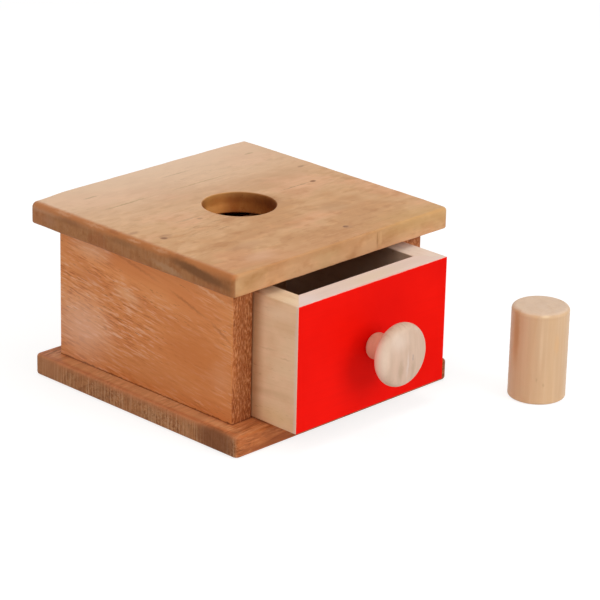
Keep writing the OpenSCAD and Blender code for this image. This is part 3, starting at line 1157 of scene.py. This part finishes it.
@dataclass
class Peg:
    """Loose turned peg.

    Lengths are in millimetres. The margins place rings just beside the curves. The side has faint sanding
    waves, given by their rates in radians per millimetre, which stay within the full radius.
    """

    foot_round: float = 1.25
    top_round: float = 2.5
    flat_margin: float = 0.4
    side_margin: float = 0.3
    wave: float = 0.02
    wave_rates: Pair = (1.9, 0.7)
    wave_phase: float = 1.0
    columns: int = 144
    foot_points: int = 9
    side_points: int = 60
    top_points: int = 12

    def build(self) -> None:
        """Turns the peg about its axis and dresses it."""
        low, high = (np.array(corner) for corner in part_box("peg"))
        radius, height = float(high[0] - low[0]) / 2 / MM, float(high[2] - low[2]) / MM
        foot, top = self.foot_round, self.top_round
        side = np.linspace(foot + self.side_margin, height - top - self.side_margin, self.side_points)
        fast, slow = (side * rate for rate in self.wave_rates)
        sanded = radius + self.wave * (np.sin(fast) + np.sin(slow + self.wave_phase) - 2)
        parts = ([(0.0, 0.0), (radius - foot - self.flat_margin, 0.0)],
                 arc((radius - foot, foot), foot, -90.0, 0.0, self.foot_points),
                 np.stack((sanded, side), axis=-1),
                 arc((radius - top, height - top), top, 0.0, 90.0, self.top_points),
                 [(radius - top - self.flat_margin, height), (radius / 2, height), (0.0, height)])
        middle = (low + high) / 2
        stand = (float(middle[0]), float(middle[1]), float(low[2]))
        piece = turned("turned_peg", parts, stand, GrainAxis.Z, 1.0, self.columns)
        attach(piece, "peg")
        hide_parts("peg")
        dress("peg", PEG_WOOD, piece)


@dataclass(frozen=True)
class Lamp:
    """Square soft light that looks at the box. Lengths are in metres.

    A square lamp of a power gives a white face that is turned to it the level power / (pi * distance) ** 2.
    """

    name: str
    way: Triple
    size: float
    level: float
    tint: Triple = ONES
    distance: float = 1.8
    aim: Triple = (0.0, -0.02, 0.05)

    def hang(self) -> None:
        """Adds the light at its distance from the aim and turns it there."""
        data = bpy.data.lights.new(self.name, "AREA")
        data.shape, data.size, data.color = "SQUARE", self.size, self.tint
        data.energy = self.level * (math.pi * self.distance) ** 2
        light = bpy.data.objects.new(self.name, data)
        away = Vector(self.way).normalized() * self.distance
        light.location = Vector(self.aim) + away
        light.rotation_mode = "QUATERNION"
        light.rotation_quaternion = (-away).to_track_quat("-Z", "Y")
        bpy.context.collection.objects.link(light)


@dataclass
class Stage:
    """Pale floor, white surround, soft lights and the camera of the photograph.

    Lengths are in metres and angles in degrees. The floor lies a hair below the box. Where it is seen, it
    glows and takes the rest of its light from the lamps, so that it looks white and keeps the shadow.
    """

    camera_place: Triple = (-1.023723, -1.038171, 0.600339)
    azimuth: float = -45.927784
    elevation: float = 20.874124
    roll: float = 1.360634
    focal_px: float = 2868.042857
    image_px: float = 600.0
    sensor_mm: float = 36.0
    clip: Pair = (0.05, 50.0)
    floor_half: float = 4.0
    floor_gap: float = 0.0003
    floor_tones: Pair = (0.80, 0.82)
    floor_waves: float = 60.0
    floor_seen: float = 0.36
    floor_glow: float = 0.78
    world_level: float = 0.3
    world_tint: Triple = (1.0, 0.99, 0.97)
    lamps: tuple[Lamp, ...] = (Lamp("overhead", (0.1, -0.1, 0.99), 1.6, 0.34),
                               Lamp("front", (0.22, -0.88, 0.42), 1.1, 0.42),
                               Lamp("left", (-0.78, -0.3, 0.55), 1.2, 0.28, (1.0, 0.95, 0.88)))

    def camera(self) -> None:
        """Places the camera by its angles and its focal length in pixels."""
        data = bpy.data.cameras.new("photo_camera")
        data.sensor_width = self.sensor_mm
        data.lens = self.focal_px / self.image_px * self.sensor_mm
        data.clip_start, data.clip_end = self.clip
        turn, rise, lean = (math.radians(angle) for angle in (self.azimuth, self.elevation, self.roll))
        back = Vector((math.sin(turn) * math.cos(rise), -math.cos(turn) * math.cos(rise), math.sin(rise)))
        right = Vector((0.0, 0.0, 1.0)).cross(back).normalized()
        up = back.cross(right)
        leaning_right = right * math.cos(lean) + up * math.sin(lean)
        leaning_up = up * math.cos(lean) - right * math.sin(lean)
        pose = Matrix((leaning_right, leaning_up, back)).transposed().to_4x4()
        pose.translation = Vector(self.camera_place)
        camera = bpy.data.objects.new("photo_camera", data)
        camera.matrix_world = pose
        bpy.context.collection.objects.link(camera)
        bpy.context.scene.camera = camera

    def floor(self) -> None:
        """Lays a large pale floor that looks white and keeps the object's shadow."""
        corners = [(self.floor_half * x, self.floor_half * y, -self.floor_gap)
                   for x, y in ((-1, -1), (1, -1), (1, 1), (-1, 1))]
        mesh = bpy.data.meshes.new("floor")
        mesh.from_pydata(corners, [], [(0, 1, 2, 3)])
        graph = NodeGraph.material("floor_paper")
        fibre = graph.noise(graph.node("TexCoord").outputs["Object"], self.floor_waves, 3.0)
        paper = graph.blend(fibre, *(scaled(ONES, tone) for tone in self.floor_tones))
        plain = graph.node("BsdfDiffuse", Color=paper)
        seen = graph.node("BsdfDiffuse", Color=scaled(ONES, self.floor_seen))
        glow = graph.node("Emission", Color=ONES, Strength=self.floor_glow)
        shown = graph.filled("AddShader", None, seen.outputs[0], glow.outputs[0])
        mix = graph.filled("MixShader", None, graph.direct(), plain.outputs[0], shown.outputs[0])
        mesh.materials.append(graph.surface(mix))
        floor = bpy.data.objects.new("floor", mesh)
        bpy.context.collection.objects.link(floor)

    def world(self) -> None:
        """Makes an even surround that lights softly and shows as white."""
        graph = NodeGraph(bpy.data.worlds.new("surround"))
        soft = graph.node("Background", Color=self.world_tint, Strength=self.world_level)
        white = graph.node("Background", Color=ONES, Strength=1.0)
        mix = graph.filled("MixShader", None, graph.direct(), soft.outputs[0], white.outputs[0])
        bpy.context.scene.world = graph.surface(mix)

    def build(self) -> None:
        """Sets up floor, surround, lights, camera and plain colour handling."""
        self.floor()
        self.world()
        for lamp in self.lamps:
            lamp.hang()
        self.camera()
        bpy.context.scene.view_settings.view_transform = "Standard"


def shade(centre: Triple, reach: Triple, tint: Triple, core: float) -> Mark:
    """Crisp mark that tints all that it covers, in millimetres of the shared frame: painted shade or light,
    or a plain tint.
    """
    return Mark(centre, reach, tint, 1.0, core, Lay.TINT, crisp=True)


# Faces that carry marks, each with the usual depth of its marks
TOP_FACE = Face("top_board", 2, True, 2.0)
TOP_END = Face("top_board", 0, False, 6.0)
BASE_END = Face("base_board", 0, False, 4.0)
WALL_FACE = Face("left_wall", 0, False, 6.0)
SIDE_FACE = Face("drawer_left_side", 0, False, 4.0)
FRONT_TOP = Face("drawer_front", 2, True, 3.0)

# Top board: paler toward the back, browner toward the front, with clouds
TOP_PATCHES = (
    TOP_FACE.mark((0.0, 130.0), (260.0, 160.0), (0.86, 0.62, 0.44), 1.0, 0.1, 6.0),
    TOP_FACE.mark((60.0, -85.0), (60.0, 30.0), (0.62, 0.37, 0.14), 0.7, 0.1, 12.0),
    TOP_FACE.mark((-20.0, -80.0), (70.0, 26.0), (0.58, 0.27, 0.11), 0.6, 0.1, 6.0),
    *TOP_FACE.marks(0.1,
                    ((-50.0, -66.0), (16.0, 9.0), (0.70, 0.40, 0.24), 0.6),
                    ((34.0, -38.0), (16.0, 11.0), (0.52, 0.29, 0.14), 0.55),
                    ((-44.0, -50.0), (18.0, 7.0), (0.55, 0.29, 0.15), 0.5),
                    ((60.0, 20.0), (22.0, 14.0), (0.60, 0.34, 0.18), 0.5), depth=3.0))

# Dark lines along the grain of the top
TOP_LINES = TOP_FACE.marks(
    0.2,
    ((-45.0, 40.4), (24.0, 0.9), (0.40, 0.24, 0.11), 0.55),
    ((8.0, 40.2), (30.0, 0.9), (0.46, 0.28, 0.14), 0.5),
    ((-52.5, 60.6), (7.5, 1.0), (0.44, 0.28, 0.15), 0.6),
    ((9.0, 59.5), (16.0, 0.9), (0.50, 0.32, 0.18), 0.5),
    ((65.0, 59.0), (5.0, 1.2), (0.44, 0.28, 0.14), 0.6),
    ((44.0, 0.6), (17.0, 0.8), (0.36, 0.19, 0.08), 0.65),
    ((-38.0, 0.0), (14.0, 1.2), (0.46, 0.27, 0.14), 0.5))

# Dark pin knots, the softer stains beside them, and faint specks
TOP_KNOTS = (
    *TOP_FACE.marks(0.4,
                    ((57.0, 0.4), (2.6, 1.8), (0.26, 0.10, 0.03), 0.9),
                    ((-67.5, -13.3), (2.6, 2.4), (0.2, 0.07, 0.02), 0.95),
                    ((16.1, -63.7), (2.1, 1.9), (0.14, 0.045, 0.012), 1.0), crisp=True),
    *TOP_FACE.marks(0.4,
                    ((-65.0, -12.0), (5.0, 4.0), (0.46, 0.24, 0.12), 0.5),
                    ((16.8, -65.0), (4.5, 3.2), (0.46, 0.23, 0.11), 0.5), depth=3.0),
    *TOP_FACE.marks(0.4,
                    ((-32.3, -3.2), (2.4, 1.6), (0.40, 0.21, 0.10), 0.6),
                    ((71.0, 23.2), (3.2, 1.8), (0.34, 0.17, 0.08), 0.6),
                    ((-74.0, 3.0), (4.5, 2.5), (0.42, 0.20, 0.10), 0.6)))

# Brown left arris of the top, and dark bands on the end grain below it
TOP_END_BANDS = (
    Mark((-81.5, 0.0, 99.5), (5.6, WIDE, 5.1), (0.50, 0.185, 0.06), 0.9),
    TOP_END.mark((-53.0, 94.0), (30.0, 3.6), (0.18, 0.07, 0.022), 0.85, turn=-7.0),
    TOP_END.mark((-30.0, 90.0), (16.0, 2.6), (0.46, 0.26, 0.135), 0.6, 0.3, turn=-8.0),
    *TOP_END.marks(0.2,
                   ((46.0, 95.5), (15.0, 2.8), (0.28, 0.11, 0.04), 0.6),
                   ((4.0, 95.0), (17.0, 2.6), (0.30, 0.13, 0.05), 0.6),
                   ((62.0, 92.0), (9.0, 4.0), (0.40, 0.19, 0.10), 0.5)))

# Pale and dark rubs along that arris
TOP_ARRIS_RUBS = (
    Mark((-79.6, 52.0, 98.2), (2.2, 9.0, 0.9), (0.74, 0.42, 0.25), 0.4, 0.2),
    Mark((-79.6, 27.0, 98.0), (2.2, 12.0, 0.9), (0.74, 0.42, 0.25), 0.35, 0.2),
    Mark((-79.8, -4.0, 98.0), (2.2, 7.0, 0.9), (0.76, 0.45, 0.28), 0.4, 0.2),
    Mark((-79.6, -24.0, 97.8), (2.2, 8.0, 0.9), (0.72, 0.41, 0.24), 0.35, 0.2),
    Mark((-79.2, 12.0, 98.4), (2.4, 5.0, 1.2), (0.36, 0.12, 0.04), 0.55),
    Mark((-79.2, -38.0, 98.4), (2.2, 6.0, 1.2), (0.34, 0.12, 0.04), 0.55))

# Front edge of the top, a little darker from painted half shade, with a dark and a pale line
TOP_FRONT_EDGE = (
    shade((-10.0, -79.5, 94.0), (110.0, 3.6, 9.0), (0.89, 0.92, 0.89), 0.6),
    Mark((25.0, -78.5, 93.3), (0.7, 3.0, 5.6), (0.34, 0.15, 0.05), 0.6, crisp=True),
    Mark((27.5, -78.5, 93.3), (1.6, 3.0, 5.4), (0.72, 0.44, 0.22), 0.4))

# Wall of the hole: painted shade, warm all round, darker at the right and toward the rim
HOLE_PAINTED_SHADE = (
    shade((0.0, 0.0, 93.0), (20.5, 20.5, WIDE), (1.0, 0.84, 0.46), 0.985),
    shade((19.0, -5.0, 93.0), (11.0, 19.0, 9.0), (0.62, 0.46, 0.27), 0.2),
    shade((0.0, 0.0, 96.5), (21.0, 21.0, 16.0), (0.72, 0.64, 0.56), 0.955))

TOP_WOOD = WoodFinish(
    "oiled_tan", (0.68, 0.39, 0.195), (0.52, 0.25, 0.10), tilt=(1.5, 0.0),
    rings=Rings((50.0, -140.0), 11.0, 0.15), fibres=Fibres(0.16),
    mottles=(Mottle((0.86, 0.77, 0.66), 0.9, (34.0, 22.0), (0.44, 0.62)),
             Mottle((1.08, 1.02, 1.08), 0.9, (40.0, 24.0), (0.45, 0.6), 3.3),
             Mottle((0.88, 0.80, 0.70), 0.8, (10.0, 6.0), (0.5, 0.66), 7.1),
             Mottle((1.08, 1.09, 1.1), 0.8, (9.0, 5.0), (0.5, 0.66), 9.4)),
    flecks=Flecks((0.76, 0.50, 0.30), (0.46, 0.23, 0.10), (0.3, 0.3), (7.0, 1.6), (0.45, 0.6)),
    pores=Pores((0.34, 0.18, 0.08), 0.6, (4.0, 0.7), (0.58, 0.68), (0.6, 0.7)),
    end=EndGrain((0.60, 0.45, 0.34), (0.46, 0.28, 0.17), (0.12, 0.15), (1.6, 9.0), (0.2, 0.6)),
    wear=Wear((0.98, 0.93, 0.88)), seed=0.3,
    marks=(TOP_PATCHES + TOP_LINES + TOP_KNOTS + TOP_END_BANDS + TOP_ARRIS_RUBS + TOP_FRONT_EDGE
           + HOLE_PAINTED_SHADE))

BASE_WOOD = WoodFinish(
    "oiled_brown", (0.64, 0.235, 0.083), (0.34, 0.095, 0.028), tilt=(-3.0, 1.0),
    rings=Rings((-20.0, -60.0), 6.0, 0.5), fibres=Fibres(0.4),
    flecks=Flecks((0.80, 0.38, 0.18), (0.24, 0.065, 0.02), (0.6, 0.7), (8.0, 1.3), (0.36, 0.5)),
    pores=Pores((0.14, 0.05, 0.02), 0.5, (4.0, 0.5)),
    end=EndGrain((0.76, 0.93, 1.06), (0.60, 0.36, 0.20), (0.7, 0.6), (0.6, 30.0), (0.6, 0.95)), seed=1.7,
    # Painted light on the base's top beside the left wall, where the wall and the top's overhang shade it,
    # then a plain cover colour that evens its grain
    marks=(shade((-74.5, -3.0, 12.0), (6.0, 86.0, 3.0), (1.35, 1.8, 2.3), 0.5),
           Mark((-74.5, -3.0, 12.0), (6.0, 90.0, 3.0), (0.64, 0.325, 0.15), 0.55, 0.5),
           # Painted shade standing in for a rounded upper left arris of the base
           Mark((-80.75, 0.0, 12.5), (5.0, WIDE, 5.0), (0.50, 0.185, 0.075), 0.7, 0.2),
           shade((0.0, -83.0, 5.0), (WIDE, 1.8, WIDE), (0.80, 0.67, 0.50), 0.6),
           BASE_END.mark((-67.0, 6.0), (19.0, 11.0), (0.18, 0.055, 0.016), 0.8),
           BASE_END.mark((66.0, 6.0), (18.0, 9.0), (0.44, 0.19, 0.085), 0.75, 0.3),
           BASE_END.mark((22.0, 6.0), (8.0, 9.0), (0.34, 0.15, 0.065), 0.45, 0.2)))

WALL_WOOD = WoodFinish(
    "oiled_red_brown", (0.77, 0.30, 0.10), (0.60, 0.185, 0.05), grain=GrainAxis.Y, tilt=(0.0, -7.0),
    rings=Rings((-100.0, 30.0), 15.0, 0.3, 2.0), fibres=Fibres(0.25),
    mottles=(Mottle((0.92, 0.82, 0.72), 0.7, (50.0, 16.0)),
             Mottle((1.04, 1.06, 1.08), 0.6, (34.0, 13.0), shift=5.5)),
    flecks=Flecks((0.90, 0.55, 0.38), (0.47, 0.125, 0.034), (0.6, 0.8), (9.0, 1.1), (0.34, 0.5),
                  WALL_FACE.mark((48.0, 45.0), (80.0, 60.0), ONES, 1.0, 0.3, 60.0), 0.5),
    pores=Pores((0.30, 0.10, 0.035), 0.6, (5.0, 0.6)),
    end=EndGrain((0.56, 0.46, 0.38), (0.68, 0.31, 0.14), (0.75, 0.75), (0.75, 2.8), (0.3, 0.85)),
    wear=Wear((0.94, 0.88, 0.82)), seed=3.1,
    marks=(Mark((-64.0, -68.75, 50.0), (2.2, 3.0, WIDE), (0.30, 0.09, 0.03), 0.35, 0.2),
           WALL_FACE.mark((0.0, 12.0), (WIDE, 1.0), (0.2, 0.06, 0.02), 0.8, 0.5, 30.0),
           *WALL_FACE.marks(0.1,
                            ((46.0, 32.0), (33.0, 29.0), (0.89, 0.52, 0.35), 0.6),
                            ((40.0, 79.0), (22.0, 9.0), (0.88, 0.50, 0.29), 0.5),
                            ((42.0, 62.0), (16.0, 9.0), (0.62, 0.21, 0.08), 0.2)),
           *WALL_FACE.marks(0.1,
                            ((11.0, 61.0), (16.0, 5.0), (0.88, 0.49, 0.27), 0.45),
                            ((-33.0, 43.0), (20.0, 7.0), (0.56, 0.155, 0.04), 0.5), turn=-8.0),
           WALL_FACE.mark((-59.0, 36.0), (13.0, 12.0), (0.84, 0.43, 0.24), 0.45, 0.1),
           WALL_FACE.mark((-5.0, 22.0), (66.0, 14.0), (0.62, 0.215, 0.062), 0.65, 0.2),
           WALL_FACE.mark((4.5, 79.2), (28.0, 1.4), (0.46, 0.14, 0.042), 0.5, 0.1, turn=-12.1),
           WALL_FACE.mark((-36.0, 69.3), (21.0, 1.4), (0.42, 0.125, 0.036), 0.6, 0.1, turn=-16.3),
           WALL_FACE.mark((-60.0, 60.4), (12.0, 1.4), (0.42, 0.125, 0.036), 0.6, 0.1, turn=-27.9),
           WALL_FACE.mark((-51.0, 80.0), (19.0, 1.0), (0.92, 0.56, 0.34), 0.55, 0.2, turn=-12.5),
           WALL_FACE.mark((-40.0, 42.0), (46.0, 28.0), (0.635, 0.20, 0.048), 0.8, 0.1)))

# Painted shade on the inner faces of the drawer
SIDE_INSIDE_PAINTED_SHADE = shade((0.0, -41.0, 50.0), (43.4, WIDE, WIDE), (0.30, 0.15, 0.048), 0.99)
BACK_INSIDE_PAINTED_SHADE = shade((0.0, -41.0, 50.0), (WIDE, 47.0, WIDE), (0.45, 0.24, 0.085), 0.99)

SIDE_WOOD = WoodFinish(
    "bare_pale", (0.84, 0.56, 0.35), (0.72, 0.44, 0.25), grain=GrainAxis.Y, tilt=(0.0, 4.0),
    rings=Rings((-140.0, 20.0), 8.0, 0.3), fibres=Fibres(0.25),
    mottles=(Mottle((0.93, 0.87, 0.82), 0.85, (16.0, 12.0)),
             Mottle((1.05, 1.03, 1.06), 0.8, (11.0, 8.0), shift=5.5)),
    pores=Pores((0.42, 0.22, 0.11), 0.4, (4.0, 0.6), (0.6, 0.72), (0.5, 0.7)),
    end=EndGrain((0.8, 0.72, 0.62)), wear=Wear((0.97, 0.94, 0.92)), seed=5.2,
    marks=(SIDE_FACE.mark((-78.0, 30.0), (26.0, 3.0), (0.66, 0.40, 0.22), 0.45, 0.1, turn=5.0),
           SIDE_FACE.mark((-84.0, 18.0), (22.0, 8.0), (0.80, 0.53, 0.27), 0.5, 0.1),
           SIDE_FACE.mark((-80.0, 54.0), (9.0, 0.8), (0.60, 0.36, 0.20), 0.35, 0.2, turn=6.0),
           SIDE_FACE.mark((-92.0, 51.5), (5.0, 0.7), (0.56, 0.33, 0.18), 0.4, 0.2, turn=4.0),
           SIDE_FACE.mark((-86.0, 75.0), (16.0, 6.0), (0.88, 0.61, 0.42), 0.5, 0.1),
           SIDE_FACE.mark((-99.9, 48.0), (1.8, WIDE), (0.82, 0.62, 0.56), 0.5, 0.2, 2.0),
           # Painted shade on the drawer side beside the wall's front end
           SIDE_FACE.mark((-67.0, 48.0), (11.0, WIDE), (0.60, 0.47, 0.38), 1.0, 0.2,
                          how=Lay.TINT, crisp=True),
           shade((0.0, -80.0, 83.0), (WIDE, WIDE, 1.2), (1.0, 1.14, 1.24), 0.6),
           SIDE_INSIDE_PAINTED_SHADE))
RIGHT_SIDE_WOOD = replace(SIDE_WOOD, pale=(0.84, 0.70, 0.59), deep=(0.77, 0.62, 0.51), seed=15.3,
                          marks=(SIDE_INSIDE_PAINTED_SHADE,))

FRONT_WOOD = WoodFinish(
    "bare_cream", (0.83, 0.65, 0.56), (0.75, 0.57, 0.48),
    rings=Rings((-140.0, 20.0), 8.0, 0.2), fibres=Fibres(0.2),
    mottles=(Mottle((0.95, 0.93, 0.92), 0.6, (30.0, 5.0)),
             Mottle((1.04, 1.03, 1.04), 0.6, (20.0, 4.0), shift=5.5)),
    end=EndGrain((0.85, 0.78, 0.7)), wear=Wear((0.98, 0.92, 0.92)), seed=6.6,
    marks=(BACK_INSIDE_PAINTED_SHADE,
           FRONT_TOP.mark((5.0, -95.0), (32.0, 9.0), (0.80, 0.62, 0.46), 0.7, 0.1),
           FRONT_TOP.mark((0.0, -100.6), (54.0, 2.2), (0.84, 0.40, 0.33), 0.55, 0.2, 1.5),
           FRONT_TOP.mark((-46.0, -95.0), (14.0, 9.0), (0.84, 0.70, 0.66), 0.7, 0.1)))

PANEL_WOOD = WoodFinish(
    "bare_ply", (0.38, 0.20, 0.085), (0.30, 0.15, 0.06), rings=Rings((0.0, -300.0), 5.0, 0.4),
    pores=Pores((0.26, 0.14, 0.07), 0.4), seed=7.3)

KNOB_WOOD = WoodFinish(
    "turned_pale", (0.69, 0.50, 0.38), (0.55, 0.39, 0.29), grain=GrainAxis.Z, tilt=(3.0, 0.0),
    rings=Rings((60.0, -200.0), 5.0, 0.25), fibres=Fibres(0.25),
    mottles=(Mottle((0.93, 0.9, 0.86), 0.6, (16.0, 5.0)),
             Mottle((1.05, 1.04, 1.06), 0.6, (14.0, 4.0), shift=5.5)),
    end=EndGrain((0.94, 0.9, 0.86)), wear=Wear(ONES), feel=Feel(0.46), seed=8.8,
    # Painted reflection of the red front on the knob's stem
    marks=(shade((0.0, -101.0, 48.0), (WIDE, 15.0, WIDE), (1.0, 0.72, 0.66), 0.5),
           Mark((-4.8, -124.0, 41.0), (3.2, 8.0, 9.5), (0.52, 0.36, 0.25), 0.8, 0.1),
           Mark((4.6, -124.0, 40.0), (2.7, 8.0, 9.0), (0.53, 0.37, 0.26), 0.75, 0.1),
           Mark((0.0, -124.0, 43.5), (1.5, 8.0, 11.0), (0.72, 0.58, 0.51), 0.75, 0.2),
           Mark((3.6, -125.0, 46.4), (0.9, 3.0, 2.2), (0.40, 0.29, 0.27), 0.75, 0.2),
           # Painted light on the upper left of the knob's face and on its left rim
           Mark((-6.0, -124.0, 57.0), (9.0, 8.0, 7.0), (0.78, 0.62, 0.51), 0.7, 0.1),
           Mark((-16.0, -120.0, 48.0), (6.0, 9.0, 17.0), (0.86, 0.68, 0.54), 0.75, 0.2)))

PEG_WOOD = WoodFinish(
    "turned_tan", (0.70, 0.47, 0.285), (0.62, 0.38, 0.205), grain=GrainAxis.Z,
    rings=Rings((0.0, -90.0), 6.0, 0.2), fibres=Fibres(0.2),
    mottles=(Mottle((0.95, 0.91, 0.86), 0.6, (60.0, 5.0)),
             Mottle((1.04, 1.03, 1.0), 0.6, (50.0, 4.0), shift=5.5)),
    end=EndGrain((1.06, 1.18, 1.45), ray=(0.0, 0.06)), wear=Wear(ONES), feel=Feel(0.42, 0.3), seed=9.5,
    # Painted highlight: a pale line down one facet of the peg's side
    marks=(Mark((89.2, -141.0, 34.0), (1.5, 1.5, 22.0), (0.80, 0.58, 0.37), 0.5, 0.1, crisp=True),
           Mark((85.3, -126.6, 38.0), (3.0, 3.6, 24.0), (0.56, 0.27, 0.11), 0.6, 0.2),
           # Painted glint on the front of the peg's top arris
           Mark((90.4, -141.8, 50.9), (3.8, 3.2, 1.0), (0.90, 0.70, 0.46), 0.55, 0.2, crisp=True),
           Mark((97.0, -145.0, 34.0), (2.5, 3.0, 9.0), (0.76, 0.44, 0.20), 0.4, 0.2),
           Mark((88.0, -139.8, 14.5), (0.5, 1.0, 1.8), (0.52, 0.32, 0.18), 0.6, 0.2),
           Mark((90.8, -142.4, 11.5), (0.5, 1.0, 1.6), (0.54, 0.34, 0.19), 0.6, 0.2)))

DOWEL_WOOD = WoodFinish(
    "bare_dowel", (0.76, 0.58, 0.4), (0.6, 0.42, 0.25), grain=GrainAxis.Z, wear=Wear(ONES), seed=10.4)
RED_FRONT = PaintFinish("red_paint", FRONT_WOOD, (0.93, 0.0055, 0.0011))
STEEL = SteelFinish("plated_steel")


def main() -> None:
    """Builds the case, the drawer, the peg and the stage."""
    logging.basicConfig(level=logging.INFO, format="%(name)s: %(message)s")
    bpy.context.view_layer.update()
    for part in (Case(), Drawer(), Peg(), Stage()):
        part.build()
        LOG.info("%s done", type(part).__name__)


if __name__ == "__main__":
    main()
